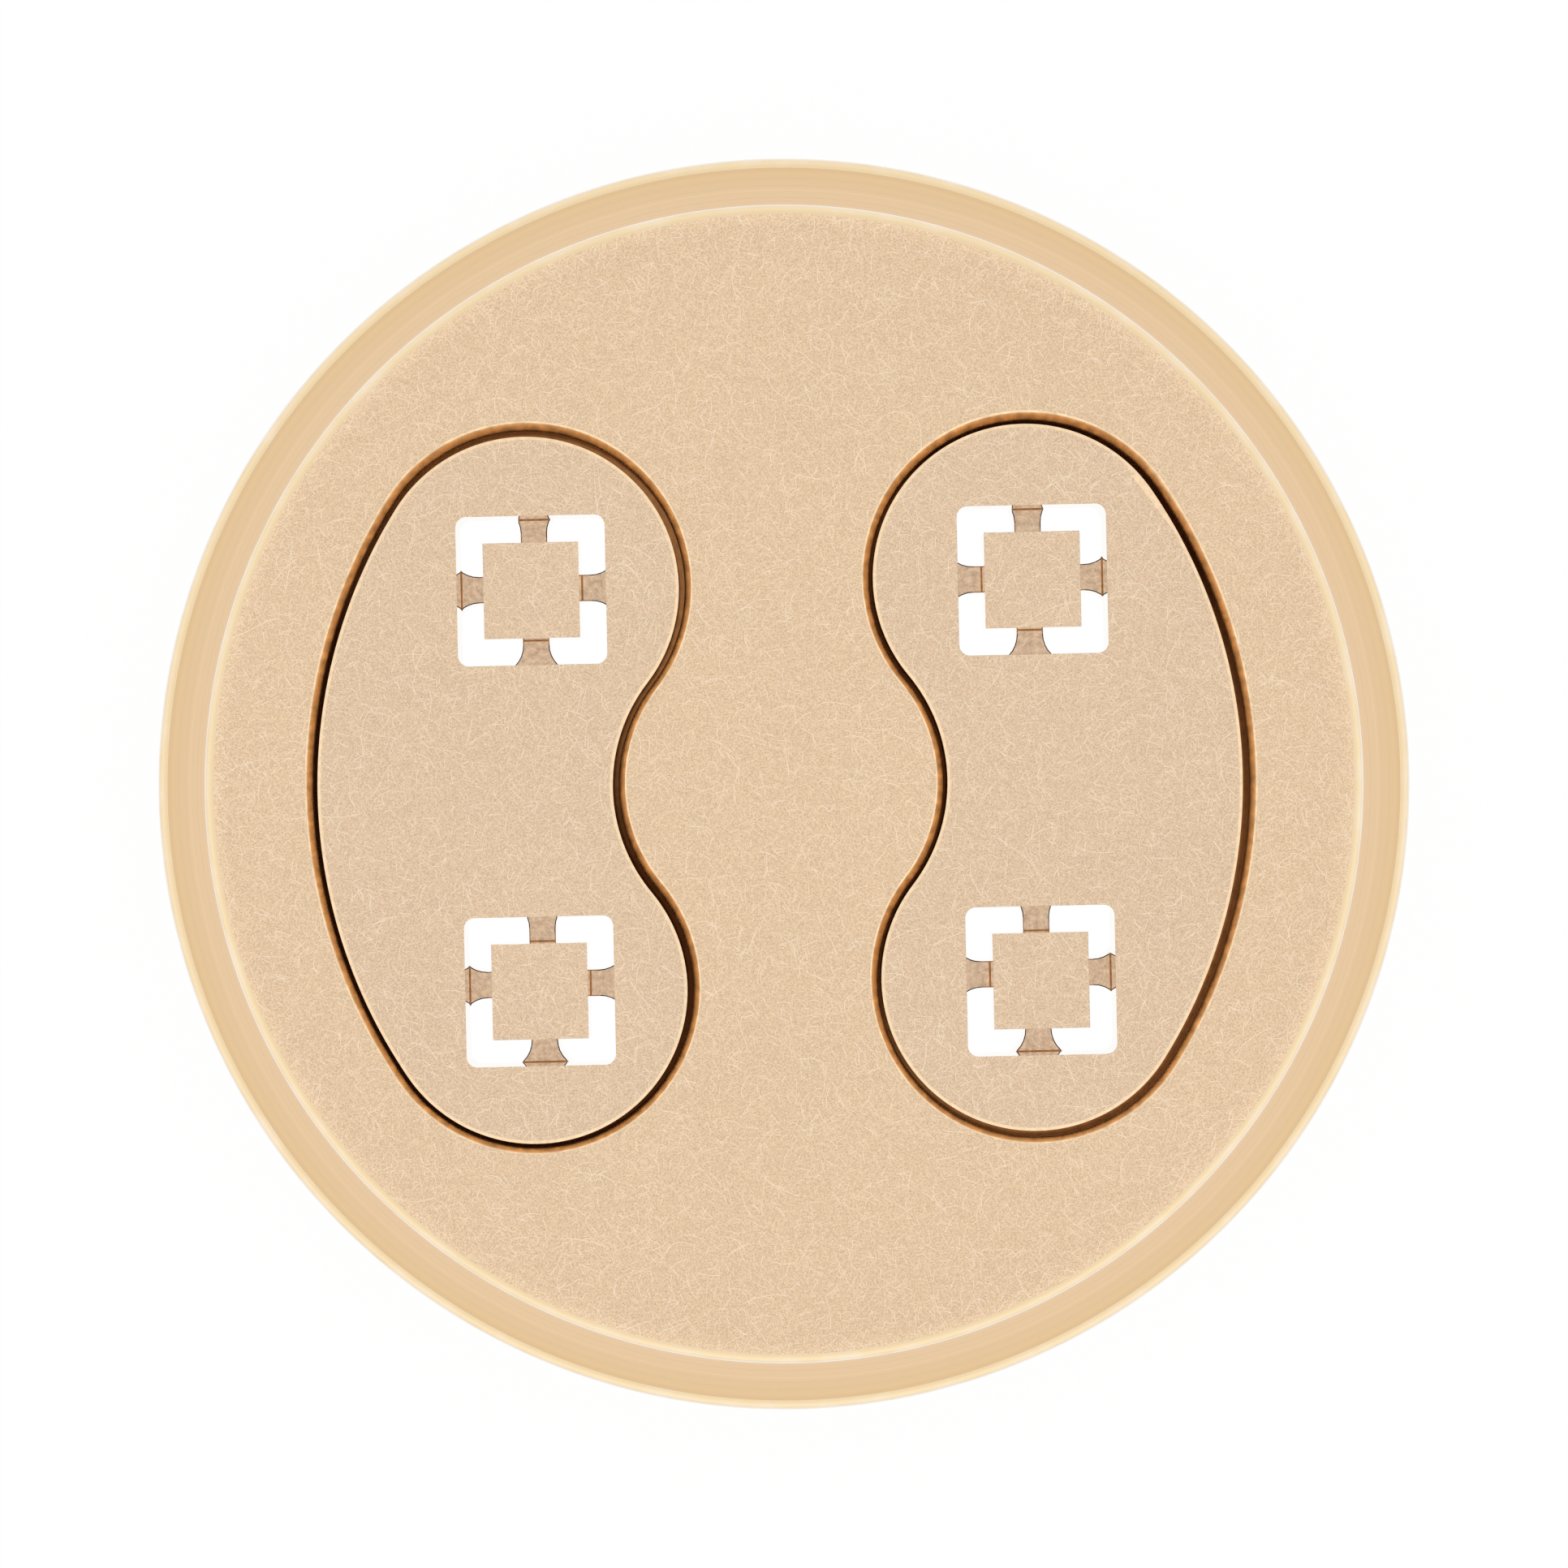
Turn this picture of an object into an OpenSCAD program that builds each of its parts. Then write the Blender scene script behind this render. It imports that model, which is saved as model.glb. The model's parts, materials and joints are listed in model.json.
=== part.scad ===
// Pasta extrusion die for square macaroni: a turned bronze disc with two loose kidney-shaped inserts.
// The rear face lies on the XY plane, the dough leaves at the front along +Z, and X runs across the inserts.

/* [Disc] */
// Diameter of the flange that the machine's ring nut holds
flange_d = 57; // [55:0.5:64]
// Diameter of the boss that comes through the ring nut
boss_d = 52.1; // [48:0.1:54]
// Thickness from the rear face to the front face
thickness = 15; // [12:0.5:20]
// Height of the boss above the flange's shoulder
boss_h = 4.5; // [2:0.25:6]
// Radius of the disc's rounded edges
edge_r = 0.45; // [0.2:0.05:0.8]

/* [Pockets] */
// Distance of the square slots from the middle, across
slot_x = 11.25; // [10.5:0.05:11.5]
// Distance of the square slots from the middle, up and down
slot_y = 9; // [8:0.1:9.5]
// Radius of a window's round ends
window_r = 7.1; // [6.5:0.05:7.5]
// Distance past the middle of the centre of a window's long outer arc
arc_back = 2.6; // [1:0.1:5]
// How far the windows were cut to the left of the disc's axis
windows_left = 0.12; // [0:0.02:0.2]
// Thickness of the lip that stops an insert at the front
lip_h = 3; // [2:0.1:4]
// Width of the ledge behind the lip
ledge_w = 1.1; // [0.6:0.1:1.2]
// Mean width of the bevel round a window's front edge
window_bevel = 0.36; // [0.1:0.02:0.4]
// How far the window's bevel was cut above its middle
bevel_lean = 0.08; // [0.02:0.02:0.1]
// Width of the bevel round a pocket's rear mouth
mouth_bevel = 0.4; // [0.2:0.1:0.8]

/* [Inserts] */
// Gap between an insert's nose and its window
nose_gap = 0.23; // [0.2:0.01:0.45]
// Gap between an insert's flange and its pocket
flange_gap = 0.15; // [0.05:0.01:0.2]
// Share of the flange's gap by which an insert lies to one side
seat_share = 0.5; // [0:0.05:0.65]
// Thickness of an insert's flange
flange_h = 6; // [4:0.25:8]
// Width of the bevel round an insert's nose
nose_bevel = 0.15; // [0.08:0.01:0.2]
// Depth of the bevel round an insert's nose
nose_bevel_h = 0.07; // [0.04:0.01:0.1]
// Width of the bevel round an insert's flange
flange_bevel = 0.3; // [0.1:0.05:0.5]
// Width of the flat filed on the right insert's edge
filed_w = 0.34; // [0.2:0.02:0.5]
// Length of the flat filed on the right insert's edge
filed_l = 4.4; // [2:0.2:6]

/* [Square slots] */
// Width across a square opening
slot_w = 6.7; // [6:0.05:7]
// Width across the core that leaves the tube hollow
core_w = 4.3; // [4:0.05:4.6]
// Depth of the slot round the core
slot_depth = 5; // [3:0.25:6]
// Radius of the opening's corners
slot_corner_r = 0.48; // [0.2:0.02:0.6]
// How far the slots were cut to the right of the disc's axis
slots_right = 0.1; // [0:0.02:0.2]
// How far the slots were cut below the disc's axis
slots_down = 0.07; // [0:0.01:0.2]
// Width of the cross that carries the core
bridge_w = 1.2; // [0.8:0.02:1.5]
// How far the feed holes reach outside the square opening
feed_margin = 0.5; // [0.2:0.05:0.6]
// Radius of the feed holes' corners as a share of their width
feed_round = 0.4; // [0.2:0.02:0.45]
// How far the feed holes were cut above the slots' middles
feed_up = 0.2; // [0:0.02:0.3]

/* [Hidden] */
$fn = 96;

BRONZE = "#ddc09f";
INSERT_BRONZE = "#dfc1a3";

// Cutters reach this far past the faces that they open
past = 1;
// Neighbouring arcs of the kidney outline cross by this much, so that they join without a gap
arc_cross = 0.01;
// Turn of the round end where the filed flat starts, the way that the flat faces, and its slope
filed_start = 42;
filed_turn = 36;
filed_slope = 25;

flange_r = flange_d / 2;
boss_r = boss_d / 2;
shoulder_z = thickness - boss_h;
lip_z = thickness - lip_h;
insert_rear_z = lip_z - flange_h;
slot_floor_z = thickness - slot_depth;

// The window's inner arc is centred on the disc's axis, and its outer arc lies on the far side of the axis
pocket_off = ledge_w;
nose_off = -nose_gap;
flange_off = ledge_w - flange_gap;
outer_arc_r = norm([slot_x + arc_back, slot_y]) + window_r;
inner_arc_r = norm([slot_x, slot_y]) - window_r;

// The inserts are loose: the left one lies low and to the left, the right one to the left and high
left_lies = [-0.4, -0.5];
right_lies = [-1, 0.8];
windows_seat = [-windows_left, 0];
left_seat = windows_seat + flange_gap * seat_share * left_lies;
right_seat = windows_seat + flange_gap * seat_share * right_lies;

feed_w = slot_w / 2 + feed_margin - bridge_w / 2;
feed_mid = bridge_w / 2 + feed_w / 2;

// Square of side w with its corners rounded by r
module rounded_square(w, r) {
    square([w, w - 2 * r], center = true);
    square([w - 2 * r, w], center = true);
    for (x = [-1, 1], y = [-1, 1])
        translate([x, y] * (w / 2 - r))
            circle(r);
}

// Right-hand kidney block from z0 to z1, with the window's outline grown by off0 below and by off1 above
module kidney(z0, z1, off0, off1) {
    h = z1 - z0;
    far = 2;
    reach_x = far * (slot_x + arc_back) - arc_back;
    reach_y = far * slot_y;
    translate([0, 0, z0]) {
        for (y = [-slot_y, slot_y])
            translate([slot_x, y, 0])
                cylinder(h, window_r + off0, window_r + off1);
        difference() {
            intersection() {
                translate([-arc_back, 0, 0])
                    cylinder(h, outer_arc_r - arc_cross + off0, outer_arc_r - arc_cross + off1);
                linear_extrude(h)
                    polygon([
                        [0, 0], [slot_x, -slot_y], [reach_x, -reach_y],
                        [reach_x, reach_y], [slot_x, slot_y]
                    ]);
            }
            cylinder(h, inner_arc_r + arc_cross - off0, inner_arc_r + arc_cross - off1);
        }
    }
}

// Half of the disc's turned section, with rounded edges at the flange and the boss
module disc_section() {
    difference() {
        union() {
            square([flange_r, shoulder_z]);
            square([boss_r, thickness]);
        }
        translate([flange_r, shoulder_z])
            edge_cut();
        translate([boss_r, thickness])
            edge_cut();
        translate([flange_r, 0])
            mirror([0, 1])
                edge_cut();
    }
}

// What rounding takes off an outside corner of the section
module edge_cut() {
    difference() {
        translate([-edge_r, -edge_r])
            square(edge_r + past);
        translate([-edge_r, -edge_r])
            circle(edge_r);
    }
}

// Everything that is cut for one pocket: the stepped hole and the bevels at its two mouths
module pocket_cut() {
    kidney(lip_z - past, thickness + past, 0, 0);
    kidney(-past, lip_z, pocket_off, pocket_off);
    kidney(-past, mouth_bevel, pocket_off + mouth_bevel + past, pocket_off);
    translate([0, bevel_lean, 0])
        kidney(thickness - window_bevel - bevel_lean, thickness + past, -bevel_lean, window_bevel + past);
}

// One square opening: the ring slot round its core, and four feed holes that were cut from behind
module square_die_cut() {
    translate([0, 0, slot_floor_z])
        linear_extrude(slot_depth + past)
            difference() {
                rounded_square(slot_w, slot_corner_r);
                square(core_w, center = true);
            }
    translate([0, 0, insert_rear_z - past])
        linear_extrude(slot_floor_z - insert_rear_z + past)
            translate([0, feed_up])
                for (x = [-1, 1], y = [-1, 1])
                    translate([x, y] * feed_mid)
                        rounded_square(feed_w, feed_w * feed_round);
}

// The two square openings of the insert whose round ends have their middles at x
module square_dies_cut(x) {
    for (y = [-slot_y, slot_y])
        translate([x + slots_right, y - slots_down, 0])
            square_die_cut();
}

// Right-hand insert before its openings are cut, in the middle of its pocket and level with the disc's face
module insert_blank() {
    kidney(lip_z - past, thickness - nose_bevel_h, nose_off, nose_off);
    kidney(thickness - nose_bevel_h, thickness, nose_off, nose_off - nose_bevel);
    kidney(insert_rear_z + flange_bevel, lip_z, flange_off, flange_off);
    kidney(insert_rear_z, insert_rear_z + flange_bevel, flange_off - flange_bevel, flange_off);
}

// The file's cut on the edge of the right insert, from the upper round end down along the outer arc
module filed_cut() {
    nose_r = window_r - nose_gap;
    translate([slot_x, slot_y, thickness])
        rotate(filed_turn)
            translate([nose_r - filed_w, nose_r * sin(filed_start - filed_turn), 0])
                rotate([0, filed_slope - 90, 0])
                    translate([0, -filed_l, -past])
                        cube([past, filed_l, 2 * past]);
}

module die_body() {
    color(BRONZE)
        difference() {
            rotate_extrude()
                disc_section();
            translate(windows_seat) {
                pocket_cut();
                mirror([1, 0, 0])
                    pocket_cut();
            }
        }
}

module left_insert() {
    color(INSERT_BRONZE)
        difference() {
            translate(left_seat)
                mirror([1, 0, 0])
                    insert_blank();
            square_dies_cut(-slot_x);
        }
}

module right_insert() {
    color(INSERT_BRONZE)
        difference() {
            translate(right_seat)
                insert_blank();
            translate(right_seat)
                filed_cut();
            square_dies_cut(slot_x);
        }
}

die_body();
left_insert();
right_insert();
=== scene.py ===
"""Models and finishes a bronze pasta die: a turned disc, two milled inserts and a white stage."""
import json
import math
from types import SimpleNamespace

import bmesh
import bpy
from bpy.props import FloatProperty, FloatVectorProperty, PointerProperty
from mathutils import Matrix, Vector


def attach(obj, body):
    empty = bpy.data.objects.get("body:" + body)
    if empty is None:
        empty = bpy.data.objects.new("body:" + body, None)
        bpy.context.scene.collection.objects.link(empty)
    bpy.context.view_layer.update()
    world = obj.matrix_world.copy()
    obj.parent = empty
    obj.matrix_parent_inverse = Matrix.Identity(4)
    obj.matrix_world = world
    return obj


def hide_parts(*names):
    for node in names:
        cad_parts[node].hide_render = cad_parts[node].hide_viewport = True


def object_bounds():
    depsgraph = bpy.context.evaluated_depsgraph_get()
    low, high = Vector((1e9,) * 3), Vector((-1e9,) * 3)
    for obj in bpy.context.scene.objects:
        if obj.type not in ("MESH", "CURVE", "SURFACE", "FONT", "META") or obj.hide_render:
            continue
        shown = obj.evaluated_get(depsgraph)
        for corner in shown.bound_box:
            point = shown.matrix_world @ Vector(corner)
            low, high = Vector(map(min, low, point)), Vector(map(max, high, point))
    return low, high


bl_info = {
    "name": "Bronze Pasta Die",
    "version": (1, 0, 0),
    "blender": (4, 5, 0),
    "location": "View3D > Sidebar > Pasta Die",
    "description": "Bronze pasta die with two loose inserts, its finishes and its stage",
    "category": "Mesh",
}

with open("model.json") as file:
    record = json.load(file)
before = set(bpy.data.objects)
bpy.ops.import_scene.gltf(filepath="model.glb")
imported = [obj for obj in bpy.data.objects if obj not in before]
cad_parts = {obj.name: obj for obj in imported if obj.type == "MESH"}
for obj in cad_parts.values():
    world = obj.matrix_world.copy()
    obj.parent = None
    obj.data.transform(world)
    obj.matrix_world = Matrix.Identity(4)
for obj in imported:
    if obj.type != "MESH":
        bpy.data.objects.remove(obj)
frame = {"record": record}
CAD_LOW, CAD_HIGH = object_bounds()
MOUNTS = {mount["name"]: mount for mount in frame["record"]["mounts"]}
SHOULDER_Z = MOUNTS["clamp_shoulder"]["pos_m"][2]

MM = 0.001

# Steps of the turned rings, of a rounded edge, of the arcs of a kidney outline and of a rounded corner
RING_STEPS = 240
EDGE_STEPS = 10
OUTER_STEPS = 56
END_STEPS = 72
INNER_STEPS = 32
CORNER_STEPS = 8

# Points closer than this, in millimetres, are one point, and cutters reach past the faces that they open
MERGE = 0.0005
PAST = 1.0
# Faces that meet at a larger angle than this keep a sharp edge
SHARP_ANGLE = math.radians(14)
# A face whose normal rises more than this lies flat
FLAT_RISE = 0.5

# A hand-cut bevel is a little rounded: shares of its width and of its depth, from the face inwards
BEVEL_SHAPE = ((0.0, 0.0), (0.2, 0.08), (0.82, 0.76), (1.0, 1.0))

# Turn of the round end where the filed flat starts, the way that it faces and its slope
FILED_START = math.radians(42)
FILED_TURN = math.radians(36)
FILED_SLOPE = math.radians(25)

# How the loose inserts lie in their pockets, as shares of their play: across and along
LEFT_LIES = (-0.4, -0.5)
RIGHT_LIES = (-1, 0.8)

MATH = "ShaderNodeMath"
MIX = "ShaderNodeMix"
RANGE = "ShaderNodeMapRange"
NOISE = "ShaderNodeTexNoise"
VECTOR = "ShaderNodeVectorMath"
SEPARATE = "ShaderNodeSeparateXYZ"


def linear(hex_colour):
    """sRGB hex text as linear red, green and blue."""
    channels = [int(hex_colour[i:i + 2], 16) / 255 for i in (1, 3, 5)]
    return tuple(c / 12.92 if c <= 0.04045 else ((c + 0.055) / 1.055) ** 2.4 for c in channels)


def length(name, description, size):
    """Length setting with a default in millimetres."""
    kind = {"precision": 5, "subtype": "DISTANCE", "unit": "LENGTH"}
    return FloatProperty(name=name, description=description, default=size * MM, **kind)


def colour(name, description, hex_colour):
    """Colour setting with a hex default."""
    kind = {"min": 0.0, "max": 1.0, "size": 3, "subtype": "COLOR"}
    return FloatVectorProperty(name=name, description=description, default=linear(hex_colour), **kind)


class PastaDieDisc(bpy.types.PropertyGroup):
    """Sizes of the turned disc."""

    rim_radius: length("Rim radius", "Radius of the flange", MOUNTS["flange_rim"]["dims"]["r_mm"])
    boss_radius: length("Boss radius", "Radius of the raised boss", MOUNTS["boss"]["dims"]["r_mm"])
    thickness: length("Thickness", "From the rear to the face", CAD_HIGH.z / MM)
    shoulder: length("Shoulder height", "From the rear to the shoulder", SHOULDER_Z / MM)
    edge: length("Edge radius", "Radius of the rounded edges", 0.45)


class PastaDiePocket(bpy.types.PropertyGroup):
    """Sizes of a kidney-shaped pocket."""

    end_x: length("End across", "Middle of a round end, across from the axis", 11.25)
    end_y: length("End along", "Middle of a round end, along from the axis", 9.0)
    end_radius: length("End radius", "Radius of the window's round ends", 7.1)
    arc_back: length("Arc back", "Distance past the axis of the outer arc's middle", 2.6)
    left: length("Windows left", "How far the windows sit left of the axis", 0.12)
    lip: length("Lip", "Thickness of the lip round the window", 3.0)
    ledge: length("Ledge", "Width of the ledge behind the lip", 1.1)
    bevel: length("Window bevel", "Mean width of the bevel round the window", 0.36)
    lean: length("Bevel lean", "How far the bevel was cut above the middle", 0.08)
    mouth: length("Mouth bevel", "Width of the bevel at the rear mouth", 0.4)


class PastaDieInsert(bpy.types.PropertyGroup):
    """Sizes of an insert."""

    nose_gap: length("Nose gap", "Gap between the nose and its window", 0.23)
    flange_gap: length("Flange gap", "Gap between the flange and its pocket", 0.15)
    flange: length("Flange", "Thickness of the flange", 6.0)
    bevel: length("Nose bevel", "Width of the bevel round the nose", 0.15)
    drop: length("Bevel depth", "Depth of the bevel round the nose", 0.07)
    flange_bevel: length("Flange bevel", "Width of the bevel round the flange", 0.3)
    play: length("Play", "How far an insert lies to one side", 0.075)
    filed_width: length("Filed width", "Width of the flat filed on the right insert", 0.34)
    filed_length: length("Filed length", "Length of the flat filed on the right insert", 4.4)


class PastaDieSlot(bpy.types.PropertyGroup):
    """Sizes of a square opening."""

    width: length("Slot width", "Width across the square opening", 6.7)
    core: length("Core width", "Width across the core", 4.3)
    depth: length("Slot depth", "Depth of the slot round the core", 5.0)
    corner: length("Corner radius", "Radius of the opening's corners", 0.48)
    right: length("Slots right", "How far the slots sit to the right", 0.1)
    down: length("Slots down", "How far the slots sit too low", 0.07)
    bridge: length("Bridge", "Width of the cross that carries the core", 1.2)
    feed: length("Feed hole", "Width of a feed hole", 3.25)
    feed_corner: length("Feed corner", "Radius of the feed holes' corners", 1.3)
    feed_up: length("Feed up", "How far the feed holes sit above the slots", 0.2)
    stoned: length("Stoned edge", "Width of the stoned edges round slot and core", 0.035)
    floor_edge: length("Floor edge", "Width of the broken edges of the cross and of its feet", 0.07)


class PastaDieFinish(bpy.types.PropertyGroup):
    """Colours and pattern sizes of the bronze."""

    face: colour("Face", "Lapped face of the disc", "#E2C6A5")
    insert_face: colour("Insert face", "Lapped faces of the inserts, a little pinker", "#DFC4A6")
    hair: colour("Hair scratch", "Bright metal laid open by a fine scratch", "#FBE6CC")
    shoulder: colour("Shoulder", "Turned bronze beside the boss", "#EDD1AE")
    rim: colour("Rim", "Yellower turned bronze towards the rim", "#E1C090")
    # The rounded edges' colour is painted lighter than the face, a painted highlight
    edge: colour("Edge", "Bright bronze of the rounded edges", "#EED6AE")
    # Nearly white: a painted sheen where the rounded edges turn to the side, with rubbed patches, and the
    # slot walls' painted reflection of the white paper
    white_sheen: colour("White sheen", "Nearly white metal where an edge is rubbed", "#F7EDDF")
    bevel: colour("Bevel", "Freshly cut bronze of the bevels", "#F0D3AE")
    slot: colour("Slot", "Milled bronze of slots and cross", "#D8BA9D")
    # Brown of the deep gap: partly tarnish, partly painted shade
    tarnish_and_shade: colour("Tarnish and shade", "Brown bronze down in the gap", "#74421B")
    seat: colour("Seat", "Brown bronze at the foot of the gap, on its wide side", "#8A5C36")
    # Nearly black: painted shade at the foot of the gap where it is narrow
    shaded_narrow_seat: colour("Shaded narrow seat", "Nearly black bronze there, on the gap's narrow side", "#3E1F0D")
    # Darker bronze along the edges of the cross: a painted shade
    corner: colour("Corner", "Darkened bronze along the edges of the cross", "#A87042")
    grain: length("Grain", "Size of the lapped grain", 0.066)
    hair_width: length("Hair width", "Width of a hair scratch", 0.03)
    # Width of the border over which the face gets paler towards its rounded edge
    pale_border: length("Pale border", "Width of the rubbed border of the face", 0.6)
    groove: length("Groove pitch", "Distance between turned grooves", 0.19)
    cutter: length("Cutter pitch", "Distance between the end mill's marks", 0.16)
    sweep: length("Cutter sweep", "Distance between the middles of the end mill's marks", 1.7)


class PastaDieStage(bpy.types.PropertyGroup):
    """Camera, floor and light."""

    camera_height: length("Camera height", "Distance of the camera from the face", 320.0)
    view_width: length("View width", "Width of the view at the face", 70.36)
    turn: FloatProperty(
        name="Camera turn", description="Turn of the camera about its own axis", default=math.radians(-1.24),
        subtype="ANGLE", unit="ROTATION",
    )
    floor: colour("Floor", "Plain white floor", "#FFFFFF")
    floor_size: length("Floor size", "Width of the floor", 6000.0)
    zenith: FloatProperty(name="Light from above", description="Brightness straight above", default=1.0)
    horizon: FloatProperty(name="Light from the side", description="Brightness near the floor", default=1.13)
    lean: FloatProperty(name="Lean", description="How much more light comes from the front", default=0.06)


SETTINGS = {
    "pasta_die_disc": PastaDieDisc,
    "pasta_die_pocket": PastaDiePocket,
    "pasta_die_insert": PastaDieInsert,
    "pasta_die_slot": PastaDieSlot,
    "pasta_die_finish": PastaDieFinish,
    "pasta_die_stage": PastaDieStage,
}


def setting_names(group):
    """Names of a group's own settings."""
    return [name for name in group.bl_rna.properties.keys() if name not in ("rna_type", "name")]


def millimetres(group):
    """A group's settings, with its lengths in millimetres."""
    values = SimpleNamespace()
    for name in setting_names(group):
        value = getattr(group, name)
        is_length = group.bl_rna.properties[name].unit == "LENGTH"
        setattr(values, name, value / MM if is_length else value)
    return values


def add(tree, kind, inputs=(), **settings):
    """Adds a node with its settings, and links or sets its inputs by name or number."""
    node = tree.nodes.new(kind)
    for name, value in settings.items():
        setattr(node, name, value)
    sockets = [socket for socket in node.inputs if socket.enabled]
    for key, value in dict(inputs).items():
        socket = sockets[key] if isinstance(key, int) else next(s for s in sockets if s.name == key)
        if isinstance(value, bpy.types.Node):
            value = next(output for output in value.outputs if output.enabled)
        if isinstance(value, bpy.types.NodeSocket):
            tree.links.new(value, socket)
        else:
            socket.default_value = (*value, 1.0) if socket.type == "RGBA" else value
    return node


def start_material(name):
    """Empty node material."""
    material = bpy.data.materials.new(name)
    material.use_nodes = True
    material.node_tree.nodes.clear()
    return material


# Depth in millimetres that a relief of full strength stands for
RELIEF_DEPTH = 0.02


def end_bronze(tree, base, roughness, height=None, bump=0.0):
    """Closes a bronze: a bare metal with its colour, its roughness and its fine relief, if it has one."""
    look = {"Base Color": base, "Metallic": 1.0, "Roughness": roughness}
    if height:
        relief = {"Strength": bump, "Distance": RELIEF_DEPTH * MM, "Height": height}
        look["Normal"] = add(tree, "ShaderNodeBump", relief)
    shader = add(tree, "ShaderNodeBsdfPrincipled", look)
    add(tree, "ShaderNodeOutputMaterial", {"Surface": shader})


def place_mm(tree):
    """The piece's own coordinates in millimetres."""
    own = add(tree, "ShaderNodeTexCoord")
    return add(tree, VECTOR, {0: own.outputs["Object"], "Scale": 1 / MM}, operation="SCALE")


def off_axis(tree, place):
    """Distance from the disc's axis in millimetres."""
    parts = add(tree, SEPARATE, {0: place})
    flat = add(tree, "ShaderNodeCombineXYZ", {0: parts.outputs["X"], 1: parts.outputs["Y"]})
    return add(tree, VECTOR, {0: flat}, operation="LENGTH").outputs["Value"]


# Detail of the spots' noise, and the values that nearly all of it lies between
SPOT_DETAIL = 3.0
SPOT_SPAN = {"From Min": 0.3, "From Max": 0.7}


def mottled(tree, place, size, spread):
    """Noise with spots of a size in millimetres, and the tone round 1 that it gives."""
    spots = add(tree, NOISE, {"Vector": place, "Scale": 1 / size, "Detail": SPOT_DETAIL})
    span = {**SPOT_SPAN, "To Min": 1 - spread, "To Max": 1 + spread}
    return spots, add(tree, RANGE, {"Value": spots, **span})


def shaded(tree, base, tone):
    """A colour made lighter or darker by a tone round 1."""
    grey = add(tree, "ShaderNodeCombineColor", {0: tone, 1: tone, 2: tone})
    return add(tree, MIX, {"Factor": 1.0, "A": base, "B": grey}, data_type="RGBA", blend_type="MULTIPLY")


# Layers of hair scratches: spacing in millimetres, and how far the layer is shifted
HAIR_LAYERS = (
    (0.5, 3.1), (0.6, 17.9), (0.75, 41.3), (0.95, 73.7),
    (1.2, 101.9), (1.6, 131.3), (2.1, 157.7), (2.8, 173.9),
)
# A layer's shift along as a multiple of its shift across
HAIR_SKEW = 1.7
# Shares of its width where a hair starts to fade sideways and where it ends
HAIR_SIDE = (0.2, 0.6)
# Least and greatest turn of a hair, and its bend per millimetre
HAIR_TURN = {"To Min": math.radians(-130), "To Max": math.radians(60)}
HAIR_BEND = {"To Min": -0.3, "To Max": 0.9}
# Least and greatest reach of a hair, and the length of its fading ends, as shares of the spacing
HAIR_REACH = (0.15, 0.55)
HAIR_FADE = 0.2


def hair_scratches(tree, place, width):
    """Hairs left by the lapping pad: each cell of a pattern holds a bent line of its own turn and reach."""
    side = [share * width for share in HAIR_SIDE]
    total = None
    for spacing, shift in HAIR_LAYERS:
        moved = add(tree, VECTOR, {0: place, 1: (shift, HAIR_SKEW * shift, 0.0)}, operation="ADD")
        cells = {"Vector": moved, "Scale": 1 / spacing}
        cell = add(tree, "ShaderNodeTexVoronoi", cells, voronoi_dimensions="2D")
        chance = add(tree, "ShaderNodeSeparateColor", {0: cell.outputs["Color"]})
        from_cell = add(tree, VECTOR, {0: moved, 1: cell.outputs["Position"]}, operation="SUBTRACT")
        turn = add(tree, RANGE, {"Value": chance.outputs["Red"], **HAIR_TURN})
        spin = {"Vector": from_cell, "Angle": turn}
        parts = add(tree, SEPARATE, {0: add(tree, "ShaderNodeVectorRotate", spin, rotation_type="Z_AXIS")})
        along = parts.outputs["X"]
        bend = add(tree, RANGE, {"Value": chance.outputs["Green"], **HAIR_BEND})
        bowed = add(tree, MATH, {0: along, 1: along}, operation="MULTIPLY")
        off_line = add(tree, MATH, {0: bowed, 1: bend, 2: parts.outputs["Y"]}, operation="MULTIPLY_ADD")
        near = add(tree, MATH, {0: off_line}, operation="ABSOLUTE")
        span = {"From Min": side[0], "From Max": side[1], "To Min": 1.0, "To Max": 0.0}
        line = add(tree, RANGE, {"Value": near, **span})
        span = {"To Min": HAIR_REACH[0] * spacing, "To Max": HAIR_REACH[1] * spacing}
        reach = add(tree, RANGE, {"Value": chance.outputs["Blue"], **span})
        distance = add(tree, MATH, {0: along}, operation="ABSOLUTE")
        left_over = add(tree, MATH, {0: reach, 1: distance}, operation="SUBTRACT")
        faded = add(tree, RANGE, {"Value": left_over, "From Max": HAIR_FADE * spacing})
        weak = add(tree, MATH, {0: faded, 1: chance.outputs["Blue"]}, operation="MULTIPLY")
        hair = add(tree, MATH, {0: line, 1: weak}, operation="MULTIPLY")
        total = add(tree, MATH, {0: total, 1: hair}, operation="MAXIMUM") if total else hair
    return total


# How much paler the face gets over its border towards the rounded edge
BORDER_TONE = 1.09


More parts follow.
